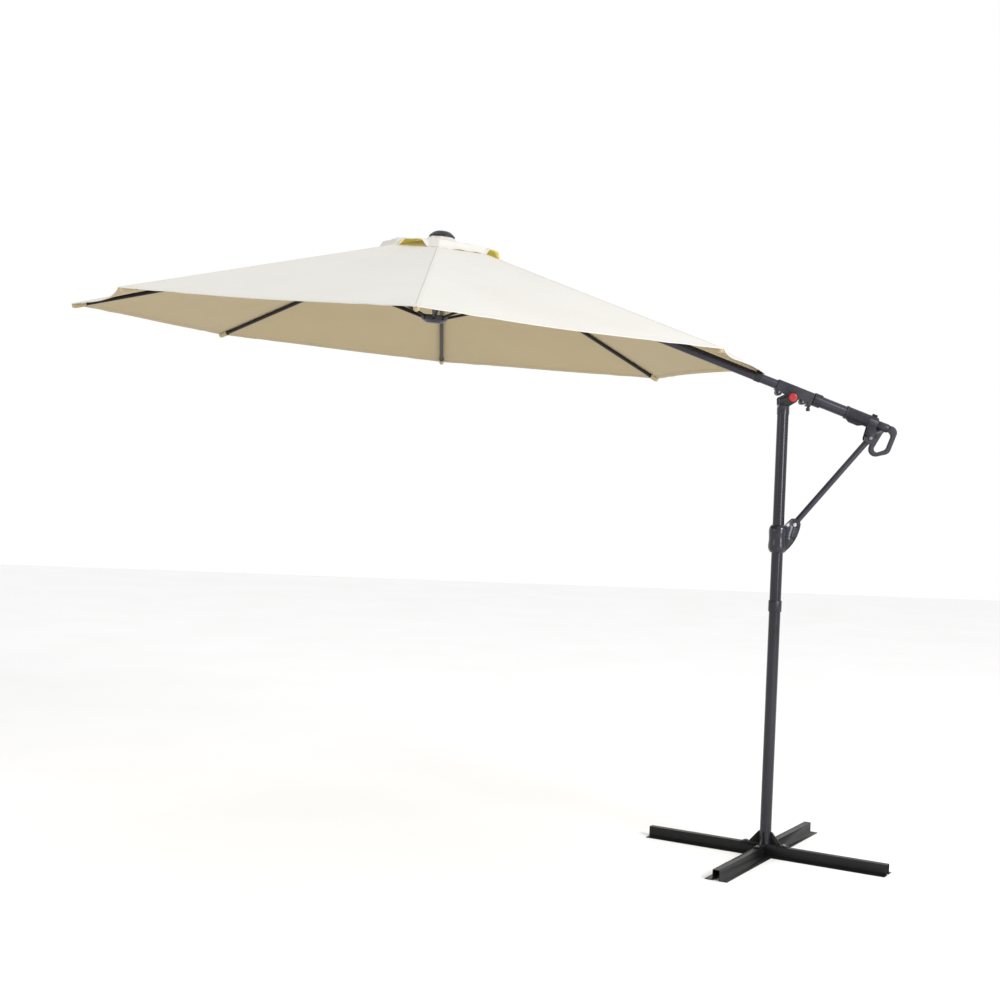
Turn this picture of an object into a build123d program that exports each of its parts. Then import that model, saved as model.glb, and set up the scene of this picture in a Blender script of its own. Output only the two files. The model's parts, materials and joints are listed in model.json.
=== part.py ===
"""Cantilever parasol: cross base, two-piece mast, tilting arm, strut and an eight-cornered canopy.

Millimetres, +Z up. The origin is on the ground, on the mast's axis. The arm lies in the XZ
plane, its canopy towards -X and its handle towards +X.
"""

import os
from math import cos, radians, sin, tan

from build123d import *

# ---- driving dimensions ----
# fits
gap = 0.3  # between pieces that move past each other
play = 0.05  # radial room of a running fit
pin_play = 0.005  # radial room of a pin in the holes that hold it

# base
bar_reach = 526  # from the mast's axis to a bar's end
bar_turn = -31  # from the arm's plane to the long bar
bar_box = 30  # width of the hat section's box
bar_height = 43
bar_flange = 32  # width of each flange
bar_wall = 2.5
tie_strip_length = 170
tie_strip_thick = 5
foot_strip_width = 29
foot_plate_thick = 5
foot_bolt = 8
foot_bolt_offset = 84
foot_bolt_margin = 16  # of the foot's strip, past its bolt
bolt_head_size = 1.8  # across a bolt head's corners, as a share of the bolt
bolt_head_height = 0.65  # as a share of the bolt
gusset_length = 44
gusset_height = 50
gusset_thick = 5

# mast
mast_outer = 48
mast_wall = 2
mast_joint_height = 1046
mast_top_height = 1870
spigot_reach = 100  # how far the inner spigots go into a tube
spigot_wall = 3
collar_wall = 3.5
collar_height = 47
collar_edge = 1.5
collar_screw_size = 6

# arm
arm_slope = 19.5  # fall of the arm towards the handle
front_tube_outer = 38
front_tube_wall = 1.5
rear_tube_wall = 1.5
reducer_wall = 3
rear_tube_start = 86
rear_tube_end = 372
tube_overlap = 34
ring_wall = 4.5
ring_length = 36
ring_edge = 3
rear_tube_outer = front_tube_outer + 2 * (reducer_wall + rear_tube_wall)
ring_outer = rear_tube_outer + 2 * ring_wall

# head, where the arm tilts; places are along the arm and above its pivot
pivot_above_mast = 47
pivot_out = 32  # pivot's distance from the mast's axis
pivot_pin_outer = 14
pivot_pin_edge = 1.5
tube_above_pivot = 10  # from the pivot to the underside of the front tube
housing_front = -78
housing_rear = 84
housing_wall = 4
housing_roof = 3
housing_floor = 5
housing_edge = 2.5
housing_lobes = ((-60, 0, 13), (47, 0, 12), (0, 0, 20))  # along, above, radius
housing_screw_places = ((-60, 0), (47, 0))
housing_screw = 5
screw_head_height = 3
fork_room = 0.8  # between the housing and a cheek
cheek_thick = 6.2
cheek_radius = 24
cheek_corner = 12  # radius of the cheek's corner over the mast's far side
cheek_corner_rise = 22  # of that corner, above the head's cap
head_skirt_length = 24
head_skirt_wall = 2
head_cap_thick = 16
cap_inset = 2  # of the cheeks' feet from the cap's edge
cap_corner = 10
button_outer = 38
button_travel = 4
button_rim_wall = 3.5
button_rim_height = 7
button_height = 9
button_dome = 7
button_stem = 10
pivot_height = mast_top_height + pivot_above_mast
arm_above_pivot = front_tube_outer / 2 + tube_above_pivot
half_housing = front_tube_outer / 2 + housing_wall
half_fork = half_housing + fork_room
fork_outer = half_fork + cheek_thick
cap_half = max(fork_outer, mast_outer / 2 + head_skirt_wall)

# the peg that locks the tilt
peg_out = 103  # peg's distance from the mast's axis
peg_stem = 8
peg_knob = 16
peg_knob_height = 14
peg_knob_edge = 2
peg_drop = 39  # from the pivot's level down to the knob's top
peg_margin = 1  # of the housing around the knob, and over the stem

# grip, end block and handle
grip_start = 232
grip_end = 333
grip_wall = 3
grip_lip = 1.5
grip_lip_length = 8
bulge_start = 242
bulge_length = 80
bulge_lead = 20  # length of the bulge's sloping ends
bulge_depth = 8
bulge_corner = 5
bulge_half_width = 14
end_block_wall = 3.5
end_block_edge = 2
end_lug_height = 10
end_lug_length = 21
end_lug_half_width = 7
end_plug_inset = 5.5  # of the plug from the rear tube's outside
end_plug_length = 53
end_plug_edge = 3
loop_thick = 16
# circles that the loop's outline and its hole are drawn round: along, above, radius
loop_outer = ((438, 17, 28), (435, -50, 31), (407, -70, 30), (396, 20, 20))
loop_inner = ((427, -4, 19), (425, -46, 21), (412, -66, 14))
end_block_outer = rear_tube_outer + 2 * end_block_wall
end_plug_outer = rear_tube_outer - 2 * end_plug_inset

# strut
strut_top_along = 367
strut_top_below = 37  # below the pivot, square to the arm
strut_foot_off_mast = 40.5  # lower pin's distance from the mast's tube
strut_foot_drop = 528  # lower pin below the arm's pivot
strut_outer = 25
strut_wall = 1.5
strut_eye = 26  # thickness of the eyes
strut_eye_radius = 17
eye_neck = 6  # from an eye to the tube's end
tube_stop = 3  # length of an eye's end against the tube
ear_radius = 25
ear_thick = 6
strut_pin = 8
strut_pin_head = 4
open_pivot_slack = 4.2  # radial room for the open joint of the linkage
strut_foot_out = mast_outer / 2 + strut_foot_off_mast
strut_foot_height = pivot_height - strut_foot_drop

# carriage
carriage_height = 116
carriage_below_pin = 3  # from the strut's pin down to the carriage's top
carriage_wall = 10  # thickness of its waist, over the bush
carriage_bush_wall = 3
carriage_lip = 6  # of the carriage past the bush's ends
carriage_web_drop = 30  # from the strut's pin down to the top of the web
carriage_screw_size = 4
bush_outer = mast_outer + 2 * (play + carriage_bush_wall)
carriage_radius = bush_outer / 2 + carriage_wall - play
carriage_top = strut_foot_height - carriage_below_pin
carriage_bottom = carriage_top - carriage_height

# canopy
canopy_tilt = 3.6
canopy_radius = 1500
crown_past_rim = 97  # from the pivot to the crown, more than the canopy's radius
ridge_above_tube = 34
cut_corner = 0.93  # the corner on the arm, as a share of the others' radius
cloth = 3
cloth_over_rib = 0.5
vent_hole_radius = 110
vent_radius = 265
vent_inner_radius = 92
vent_inner_drop = 22
vent_rim_drop = 42
vent_neck_radius = 57
vent_neck_drop = 2
finial_radius = 54
finial_height = 26
finial_rim = 5
post_outer = 20
post_rise = 8
crown_along = canopy_radius + crown_past_rim
ridge_above_arm = front_tube_outer / 2 + ridge_above_tube

# ribs, stretchers, crown and runner
corners = 8
hinge_radius = 46
hinge_pin = 4
eye_radius = 5.4
lug_thick = 8
rib_outer = 16
rib_wall = 1.2
rib_tip_gap = 20
rib_tip_length = 4
rib_tip_edge = 2
rib_pin_below = 6  # hinge pins below a rib's tube
rib_tube_start = 24
clip_half = 18
clip_foot = 6
clip_wall = 2
clip_cheek = 0.2  # of a clip past the rib's side
stretcher_reach = 540  # from a rib's crown pin to its stretcher's pin
stretcher_outer = 12
stretcher_wall = 1.2
stretcher_tube_start = 16
crown_radius = 54
crown_disc = 16
crown_edge = 1.5
crown_hub_radius = 28
crown_hub_drop = 95
arm_socket_wall = 3
arm_socket_length = 130
tube_off_hinges = 14  # from the hinge pins to the front tube's end
runner_radius = 57
runner_rim = 9  # of the runner above its pins
runner_depth = 22
strap_width = 25
strap_thick = 2.5
rib_pin_drop = rib_outer / 2 + rib_pin_below

os.makedirs("parts", exist_ok=True)


def save(part, label):
    """Names a finished piece and writes its STEP file."""
    part.label = label
    export_step(part, f"parts/{label}.step")


# ---- places ----
arm_side = Plane(
    origin=(pivot_out, 0, pivot_height),
    x_dir=(cos(radians(arm_slope)), 0, -sin(radians(arm_slope))),
    z_dir=(0, -1, 0),
)
apex = arm_side.from_local_coords(Vector(-crown_along, arm_above_pivot + ridge_above_arm, 0))
canopy = Plane(
    origin=apex,
    x_dir=(cos(radians(canopy_tilt)), 0, -sin(radians(canopy_tilt))),
    z_dir=(sin(radians(canopy_tilt)), 0, cos(radians(canopy_tilt))),
)
rib_slope = arm_slope - canopy_tilt
corner_step = 360 / corners


def across(plane, y):
    """The plane moved along the world's Y."""
    return Plane(origin=plane.origin + Vector(0, y, 0), x_dir=plane.x_dir, z_dir=plane.z_dir)


def arm_cross(along):
    """Plane square to the arm's tubes, its normal towards the handle."""
    centre = arm_side.from_local_coords(Vector(along, arm_above_pivot, 0))
    return Plane(origin=centre, x_dir=(0, 1, 0), z_dir=arm_side.x_dir)


def radial(azimuth):
    """Upright plane through the canopy's axis: x outwards, y up the axis."""
    return Plane(canopy.location * Location((0, 0, 0), (0, 0, azimuth)) * Plane.XZ.location)


def ridge_point(azimuth, radius, drop=0):
    """A point on a ridge of the cloth's top, lowered along the canopy's axis."""
    return radial(azimuth).from_local_coords(
        Vector(radius, -radius * tan(radians(rib_slope)) - drop, 0)
    )


# ---- base ----
foot_level = bar_height + foot_plate_thick
half_box = bar_box / 2
half_bar = half_box + bar_flange
foot_strip_reach = foot_bolt_offset + foot_bolt_margin


def bar_plane(turn, distance):
    """Plane square to a base bar, its normal outwards along the bar."""
    along = Vector(cos(radians(turn)), sin(radians(turn)), 0)
    return Plane(origin=along * distance, x_dir=(-along.Y, along.X, 0), z_dir=along)


def hat_bar(turn, start, end):
    """A length of hat-section bar, flanges on the ground, open underneath."""
    inner = half_box - bar_wall
    with BuildPart() as bar:
        with BuildSketch(bar_plane(turn, start)):
            with BuildLine():
                Polyline(
                    (-half_bar, 0),
                    (-half_bar, bar_wall),
                    (-half_box, bar_wall),
                    (-half_box, bar_height),
                    (half_box, bar_height),
                    (half_box, bar_wall),
                    (half_bar, bar_wall),
                    (half_bar, 0),
                    (inner, 0),
                    (inner, bar_height - bar_wall),
                    (-inner, bar_height - bar_wall),
                    (-inner, 0),
                    close=True,
                )
            make_face()
        extrude(amount=end - start)
        for place in bolt_places:
            with Locations((place.X, place.Y, bar_height)):
                Cylinder(foot_bolt / 2 + gap, bar_height, mode=Mode.SUBTRACT)
        top_edges = bar.edges().filter_by(Plane.XY).group_by(Axis.Z)[-1]
        fillet(top_edges.filter_by(lambda edge: edge.length > bar_box * 2), bar_wall / 2)
    return bar.part


bolt_places = [
    bar_plane(bar_turn + quarter * 90, foot_bolt_offset).origin for quarter in range(4)
]
save(hat_bar(bar_turn, -bar_reach, bar_reach), "base_bar_long")
save(hat_bar(bar_turn + 90, half_bar + gap, bar_reach), "base_bar_back")
save(hat_bar(bar_turn - 90, half_bar + gap, bar_reach), "base_bar_front")

strip_width = bar_box - 2 * bar_wall - 2 * gap
with BuildPart() as tie_strip:
    with BuildSketch(bar_plane(bar_turn, -tie_strip_length / 2)):
        with Locations((0, tie_strip_thick / 2)):
            Rectangle(strip_width, tie_strip_thick)
    extrude(amount=tie_strip_length)
save(tie_strip.part, "base_tie_strip")

with BuildPart() as mast_foot:
    with BuildSketch(Plane.XY.offset(bar_height)):
        Rectangle(2 * foot_strip_reach, foot_strip_width, rotation=bar_turn)
        Rectangle(foot_strip_width, 2 * foot_strip_reach, rotation=bar_turn)
        with Locations(*[(place.X, place.Y) for place in bolt_places]):
            Circle(foot_bolt / 2 + play, mode=Mode.SUBTRACT)
    extrude(amount=foot_plate_thick)
    spigot_outer = mast_outer - 2 * mast_wall - 2 * play
    with BuildSketch(Plane.XY.offset(foot_level)):
        Circle(spigot_outer / 2)
        Circle(spigot_outer / 2 - spigot_wall, mode=Mode.SUBTRACT)
    extrude(amount=spigot_reach)
    gusset_start = mast_outer / 2 + gap
    for quarter in range(4):
        across_bar = bar_plane(bar_turn + quarter * 90, 0)
        with BuildSketch(Plane((0, 0, 0), x_dir=across_bar.z_dir, z_dir=-across_bar.x_dir)):
            with BuildLine():
                Polyline(
                    (gusset_start, foot_level),
                    (gusset_start + gusset_length, foot_level),
                    (gusset_start + gusset_length, foot_level + gusset_thick),
                    (gusset_start + gusset_thick, foot_level + gusset_height),
                    (gusset_start, foot_level + gusset_height),
                    close=True,
                )
            make_face()
        extrude(amount=gusset_thick / 2, both=True)
save(mast_foot.part, "mast_foot")

with BuildPart() as foot_bolts:
    for place in bolt_places:
        with BuildSketch(Plane.XY.offset(foot_level)):
            with Locations((place.X, place.Y)):
                RegularPolygon(foot_bolt * bolt_head_size / 2, 6)
        extrude(amount=foot_bolt * bolt_head_height)
        with BuildSketch(Plane.XY.offset(foot_level)):
            with Locations((place.X, place.Y)):
                Circle(foot_bolt / 2)
        extrude(amount=-foot_plate_thick - bar_wall - foot_bolt)
save(foot_bolts.part, "foot_bolts")


# ---- mast ----
def tube(plane, length, outer, wall):
    """A straight round tube standing on a plane."""
    with BuildPart() as piece:
        with BuildSketch(plane):
            Circle(outer / 2)
            Circle(outer / 2 - wall, mode=Mode.SUBTRACT)
        extrude(amount=length)
    return piece.part


save(
    tube(
        Plane.XY.offset(foot_level),
        mast_joint_height - foot_level,
        mast_outer,
        mast_wall,
    ),
    "lower_mast",
)
upper_start = mast_joint_height + gap
save(
    tube(Plane.XY.offset(upper_start), mast_top_height - upper_start, mast_outer, mast_wall),
    "upper_mast",
)
save(
    tube(
        Plane.XY.offset(mast_joint_height - spigot_reach),
        2 * spigot_reach,
        spigot_outer,
        spigot_wall,
    ),
    "mast_spigot",
)

collar_outer = mast_outer + 2 * collar_wall
collar_bottom = mast_joint_height - collar_height / 2
collar_screw_level = collar_bottom + collar_height / 4
with BuildPart() as mast_collar:
    with BuildSketch(Plane.XY.offset(collar_bottom)):
        Circle(collar_outer / 2)
        Circle(mast_outer / 2 + play, mode=Mode.SUBTRACT)
    extrude(amount=collar_height)
    outer_rims = mast_collar.edges().filter_by(GeomType.CIRCLE).sort_by(SortBy.RADIUS)[-2:]
    chamfer(outer_rims, collar_edge)
    with BuildSketch(Plane.XZ.offset(-collar_outer)):
        with Locations((0, collar_screw_level)):
            Circle(collar_screw_size / 2 + play)
    extrude(amount=collar_outer, mode=Mode.SUBTRACT)
save(mast_collar.part, "mast_collar")

with BuildPart() as collar_screw:
    with BuildSketch(Plane.XZ.offset(-mast_outer / 2 - gap)):
        with Locations((0, collar_screw_level)):
            Circle(collar_screw_size / 2)
    extrude(amount=-(collar_outer - mast_outer) / 2 - collar_screw_size / 2)
save(collar_screw.part, "collar_screw")

# The fork is one moulding: a skirt over the mast, a cap, two cheeks and the button's rim.
cap_level = mast_top_height + head_cap_thick
with BuildPart() as mast_head:
    with BuildSketch(Plane.XY.offset(mast_top_height - head_skirt_length)):
        Circle(mast_outer / 2 + head_skirt_wall)
        Circle(mast_outer / 2 + play, mode=Mode.SUBTRACT)
    extrude(amount=head_skirt_length)
    with BuildSketch(Plane.XY.offset(mast_top_height)):
        Circle(mast_outer / 2 + head_skirt_wall)
    with BuildSketch(Plane.XY.offset(cap_level)):
        RectangleRounded(mast_outer, 2 * cap_half, cap_corner)
    loft()
    with BuildSketch(Plane.XY.offset(mast_top_height)):
        Circle(spigot_outer / 2)
        Circle(spigot_outer / 2 - spigot_wall, mode=Mode.SUBTRACT)
    extrude(amount=-spigot_reach / 2)
    for side in (-1, 1):
        with BuildSketch(across(Plane.XZ, side * (half_fork + cheek_thick / 2))):
            with Locations((0, cap_level - cap_inset)):
                Rectangle(mast_outer - 2 * cap_inset, 2 * cap_inset)
            with Locations((cheek_corner - mast_outer / 2, cap_level + cheek_corner_rise)):
                Circle(cheek_corner)
            with Locations((pivot_out, pivot_height)):
                Circle(cheek_radius)
            make_hull()
        extrude(amount=cheek_thick / 2, both=True)
    with BuildSketch(across(Plane.XZ, -fork_outer)):
        with Locations((pivot_out, pivot_height)):
            Circle(button_outer / 2 + gap + button_rim_wall)
            Circle(button_outer / 2 + gap, mode=Mode.SUBTRACT)
    extrude(amount=button_rim_height)
    with BuildSketch(Plane.XZ):
        with Locations((pivot_out, pivot_height)):
            Circle(pivot_pin_outer / 2)
    extrude(amount=2 * fork_outer, both=True, mode=Mode.SUBTRACT)
save(mast_head.part, "mast_head")

with BuildPart() as pivot_pin:
    with BuildSketch(across(Plane.XZ, fork_outer)):
        with Locations((pivot_out, pivot_height)):
            Circle(pivot_pin_outer / 2)
            Circle(button_stem / 2 + play, mode=Mode.SUBTRACT)
    extrude(amount=2 * fork_outer)
    with BuildSketch(across(Plane.XZ, fork_outer + cheek_thick)):
        with Locations((pivot_out, pivot_height)):
            Circle(pivot_pin_outer)
    extrude(amount=cheek_thick)
    chamfer(pivot_pin.faces().sort_by(Axis.Y)[-1].edges(), pivot_pin_edge)
save(pivot_pin.part, "pivot_pin")

button_back = fork_outer + button_travel + gap
with BuildPart() as red_button:
    with BuildSketch(across(Plane.XZ, -button_back)):
        with Locations((pivot_out, pivot_height)):
            Circle(button_outer / 2)
    extrude(amount=button_height)
    fillet(red_button.faces().sort_by(Axis.Y)[0].edges(), button_dome)
    with BuildSketch(across(Plane.XZ, -button_back)):
        with Locations((pivot_out, pivot_height)):
            Circle(button_stem / 2)
    extrude(amount=-fork_outer)
save(red_button.part, "red_button")

# ---- arm ----
front_tube_start = -crown_along + hinge_radius + tube_off_hinges
front_tube_end = rear_tube_start + tube_overlap
front_bore = front_tube_outer / 2 - front_tube_wall
save(
    tube(
        arm_cross(front_tube_start),
        front_tube_end - front_tube_start,
        front_tube_outer,
        front_tube_wall,
    ),
    "front_arm_tube",
)
save(
    tube(
        arm_cross(rear_tube_start),
        rear_tube_end - rear_tube_start,
        rear_tube_outer,
        rear_tube_wall,
    ),
    "rear_arm_tube",
)
reducer_outer = rear_tube_outer - 2 * rear_tube_wall
save(
    tube(
        arm_cross(rear_tube_start),
        tube_overlap,
        reducer_outer,
        (reducer_outer - front_tube_outer) / 2,
    ),
    "tube_reducer",
)
with BuildPart() as arm_collar:
    with BuildSketch(arm_cross(rear_tube_start)):
        Circle(ring_outer / 2)
        Circle(rear_tube_outer / 2, mode=Mode.SUBTRACT)
    extrude(amount=ring_length)
    outer_rims = arm_collar.edges().filter_by(GeomType.CIRCLE).sort_by(SortBy.RADIUS)[-2:]
    fillet(outer_rims, ring_edge)
save(arm_collar.part, "arm_collar")

peg_along = (peg_out - pivot_out) / cos(radians(arm_slope)) - arm_above_pivot * tan(radians(arm_slope))
peg_knob_top = pivot_height - peg_drop
peg_ceiling = (
    arm_side.from_local_coords(Vector(peg_along, arm_above_pivot, 0)).Z
    - front_tube_outer / 2 / cos(radians(arm_slope))
    - peg_stem / 2 * tan(radians(arm_slope))
)
housing_top = arm_above_pivot + front_tube_outer / 2 + housing_roof
peg_block = peg_knob + 2 * peg_margin
with BuildPart() as housing_block:
    with BuildSketch():
        with Locations(((housing_front + housing_rear) / 2, (housing_top + housing_floor) / 2)):
            Rectangle(housing_rear - housing_front, housing_top - housing_floor)
        for along, above, radius in housing_lobes:
            with Locations((along, above)):
                Circle(radius)
        with Locations((housing_rear - peg_block / 2, 0)):
            Rectangle(peg_block, 4 * housing_floor)
    extrude(amount=half_housing, both=True)
    fillet(housing_block.faces().sort_by(Axis.Z)[0].edges(), housing_edge)
    fillet(housing_block.faces().sort_by(Axis.Z)[-1].edges(), housing_edge)
with BuildPart() as housing:
    add(housing_block.part.moved(arm_side.location))
    with BuildSketch(arm_cross(2 * housing_front)):
        Circle(front_tube_outer / 2)
    extrude(amount=-4 * housing_front, mode=Mode.SUBTRACT)
    with BuildSketch(arm_side):
        Circle(pivot_pin_outer / 2 + play)
        with Locations(*housing_screw_places):
            Circle(housing_screw / 2)
    extrude(amount=half_housing, both=True, mode=Mode.SUBTRACT)
    with BuildSketch(Plane.XY.offset(peg_knob_top)):
        with Locations((peg_out, 0)):
            Circle(peg_stem / 2 + play)
    extrude(amount=peg_drop, mode=Mode.SUBTRACT)
for label, keep in (("head_housing_front", Keep.TOP), ("head_housing_back", Keep.BOTTOM)):
    with BuildPart() as shell:
        add(housing.part)
        split(bisect_by=Plane.XZ, keep=keep)
    save(shell.part, label)

with BuildPart() as housing_screws:
    for along, above in housing_screw_places:
        with BuildSketch(across(arm_side, half_housing)):
            with Locations((along, above)):
                Circle(housing_screw / 2)
        extrude(amount=2 * half_housing)
        with BuildSketch(across(arm_side, -half_housing)):
            with Locations((along, above)):
                Circle(housing_screw)
        extrude(amount=screw_head_height)
save(housing_screws.part, "housing_screws")

with BuildPart() as locking_peg:
    with BuildSketch(Plane.XY.offset(peg_knob_top - peg_knob_height)):
        with Locations((peg_out, 0)):
            Circle(peg_knob / 2)
    extrude(amount=peg_knob_height)
    fillet(locking_peg.edges().filter_by(GeomType.CIRCLE), peg_knob_edge)
    with BuildSketch(Plane.XY.offset(peg_knob_top)):
        with Locations((peg_out, 0)):
            Circle(peg_stem / 2)
    extrude(amount=peg_ceiling - peg_margin - peg_knob_top)
save(locking_peg.part, "locking_peg")

# ---- grip, end block and handle ----
grip_outer = rear_tube_outer + 2 * grip_wall
bulge_floor = arm_above_pivot - grip_outer / 2 - bulge_depth
bulge_end = bulge_start + bulge_length
grip_bulge = (
    (bulge_start, arm_above_pivot),
    (bulge_start + bulge_lead / 5, bulge_floor + bulge_depth),
    (bulge_start + bulge_lead, bulge_floor),
    (bulge_end - bulge_lead, bulge_floor),
    (bulge_end - bulge_lead / 5, bulge_floor + bulge_depth),
    (bulge_end, arm_above_pivot),
)
with BuildPart() as grip_sleeve:
    with BuildSketch(arm_cross(grip_start)):
        Circle(grip_outer / 2)
    extrude(amount=grip_end - grip_start)
    with BuildSketch(arm_cross(grip_start)):
        Circle(grip_outer / 2 + grip_lip)
    extrude(amount=grip_lip_length)
    with BuildSketch(arm_side):
        with BuildLine():
            Polyline(*grip_bulge, close=True)
        make_face()
        fillet(vertices(), bulge_corner)
    extrude(amount=bulge_half_width, both=True)
    with BuildSketch(arm_cross(grip_start)):
        Circle(rear_tube_outer / 2)
    extrude(amount=grip_end - grip_start, mode=Mode.SUBTRACT)
save(grip_sleeve.part, "grip_sleeve")

half_eye = strut_eye / 2
strut_top = arm_side.from_local_coords(Vector(strut_top_along, -strut_top_below, 0))
strut_foot = Vector(strut_foot_out, 0, strut_foot_height)
end_block_length = rear_tube_end - grip_end
end_block_middle = grip_end + end_block_length / 2
with BuildPart() as end_block:
    with BuildSketch(arm_cross(grip_end)):
        Circle(end_block_outer / 2)
    extrude(amount=end_block_length)
    fillet(end_block.edges().filter_by(GeomType.CIRCLE), end_block_edge)
    lug_base = arm_above_pivot + rear_tube_outer / 2 + end_block_wall / 2
    with BuildSketch(arm_side):
        with Locations((end_block_middle, lug_base + end_lug_height / 2)):
            Rectangle(end_lug_length, end_lug_height)
    extrude(amount=end_lug_half_width, both=True)
    for side in (-1, 1):
        with BuildSketch(across(arm_side, side * (half_eye + gap + ear_thick / 2))):
            with Locations((strut_top_along, -strut_top_below)):
                Circle(ear_radius)
            with Locations((end_block_middle, arm_above_pivot - end_block_outer / 5)):
                Rectangle(end_block_length - 4 * end_block_edge, end_block_outer / 9)
            make_hull()
        extrude(amount=ear_thick / 2, both=True)
    with BuildSketch(arm_cross(grip_end)):
        Circle(rear_tube_outer / 2)
    extrude(amount=end_block_length, mode=Mode.SUBTRACT)
    with BuildSketch(arm_side):
        with Locations((strut_top_along, -strut_top_below)):
            Circle(strut_pin / 2)
    extrude(amount=end_block_outer, both=True, mode=Mode.SUBTRACT)
save(end_block.part, "end_block")

with BuildPart() as end_plug:
    with BuildSketch(arm_cross(rear_tube_end)):
        Circle(end_plug_outer / 2)
    extrude(amount=end_plug_length)
    fillet(end_plug.faces().sort_by(Axis.X)[-1].edges(), end_plug_edge)
    with BuildSketch(arm_cross(rear_tube_end)):
        Circle(reducer_outer / 2 - play)
    extrude(amount=-end_plug_length / 2)
save(end_plug.part, "end_plug")

with BuildPart() as loop_handle:
    with BuildSketch(arm_side):
        for along, above, radius in loop_outer:
            with Locations((along, above)):
                Circle(radius)
        make_hull()
    extrude(amount=loop_thick / 2, both=True)
    with BuildSketch(arm_side):
        for along, above, radius in loop_inner:
            with Locations((along, above)):
                Circle(radius)
        make_hull()
    extrude(amount=loop_thick / 2, both=True, mode=Mode.SUBTRACT)
    fillet(loop_handle.faces().sort_by(Axis.Y)[0].edges(), loop_thick / 4)
    fillet(loop_handle.faces().sort_by(Axis.Y)[-1].edges(), loop_thick / 4)
    with BuildSketch(arm_cross(rear_tube_end - end_plug_length)):
        Circle(end_plug_outer / 2)
    extrude(amount=2 * end_plug_length, mode=Mode.SUBTRACT)
    with BuildSketch(arm_side):
        with Locations((strut_top_along, -strut_top_below)):
            Circle(ear_radius + gap)
    extrude(amount=loop_thick, both=True, mode=Mode.SUBTRACT)
save(loop_handle.part, "loop_handle")


def cross_pin(centre, length, head):
    """A hinge pin along Y with a domed head at each end."""
    with BuildPart() as pin:
        with BuildSketch(across(Plane.XZ, length / 2)):
            with Locations((centre.X, centre.Z)):
                Circle(strut_pin / 2 - play)
        extrude(amount=length)
        for side in (-1, 1):
            with BuildSketch(across(Plane.XZ, side * length / 2)):
                with Locations((centre.X, centre.Z)):
                    Circle(strut_pin)
            extrude(amount=-side * head)
        rims = pin.edges().filter_by(GeomType.CIRCLE).group_by(Axis.Y)
        fillet(rims[0] + rims[-1], head * 0.6)
    return pin.part


ear_outer = half_eye + gap + ear_thick
save(cross_pin(strut_top, 2 * ear_outer, strut_pin_head), "strut_top_pin")
save(cross_pin(strut_foot, 2 * ear_outer, strut_pin_head), "strut_foot_pin")

# ---- strut ----
strut_run = strut_top - strut_foot
strut_length = strut_run.length
strut_way = strut_run.normalized()
strut_side = Plane(origin=strut_foot, x_dir=strut_way, z_dir=(0, -1, 0))
strut_inset = strut_eye_radius + eye_neck  # from a pin to the tube's end
strut_bore = strut_outer - 2 * strut_wall


def strut_cross(distance):
    """Plane square to the strut, its normal towards the arm."""
    return Plane(origin=strut_foot + strut_way * distance, x_dir=(0, 1, 0), z_dir=strut_way)


def strut_end(pin_at, inwards, bore):
    """An eye at one end of the strut, with a plug that fits into the tube."""
    tube_end = pin_at + inwards * strut_inset
    with BuildPart() as eye:
        with BuildSketch(strut_side):
            with Locations((pin_at, 0)):
                Circle(strut_eye_radius)
            with Locations((tube_end - inwards * tube_stop / 2, 0)):
                Rectangle(tube_stop, strut_outer)
            make_hull()
        extrude(amount=half_eye, both=True)
        with BuildSketch(strut_cross(tube_end)):
            Circle(strut_bore / 2 - play)
        extrude(amount=inwards * strut_outer)
        with BuildSketch(strut_side):
            with Locations((pin_at, 0)):
                Circle(bore)
        extrude(amount=strut_eye, both=True, mode=Mode.SUBTRACT)
    return eye.part


save(strut_end(strut_length, -1, strut_pin / 2), "strut_top_eye")
save(strut_end(0, 1, strut_pin / 2 + open_pivot_slack), "strut_foot_eye")
save(
    tube(strut_cross(strut_inset), strut_length - 2 * strut_inset, strut_outer, strut_wall),
    "strut_tube",
)

# ---- carriage ----
bush_height = carriage_height - 2 * carriage_lip
with BuildPart() as carriage_bush:
    with BuildSketch(Plane.XY.offset(carriage_bottom + carriage_lip)):
        Circle(bush_outer / 2)
        Circle(mast_outer / 2 + play, mode=Mode.SUBTRACT)
    extrude(amount=bush_height)
save(carriage_bush.part, "carriage_bush")

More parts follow.
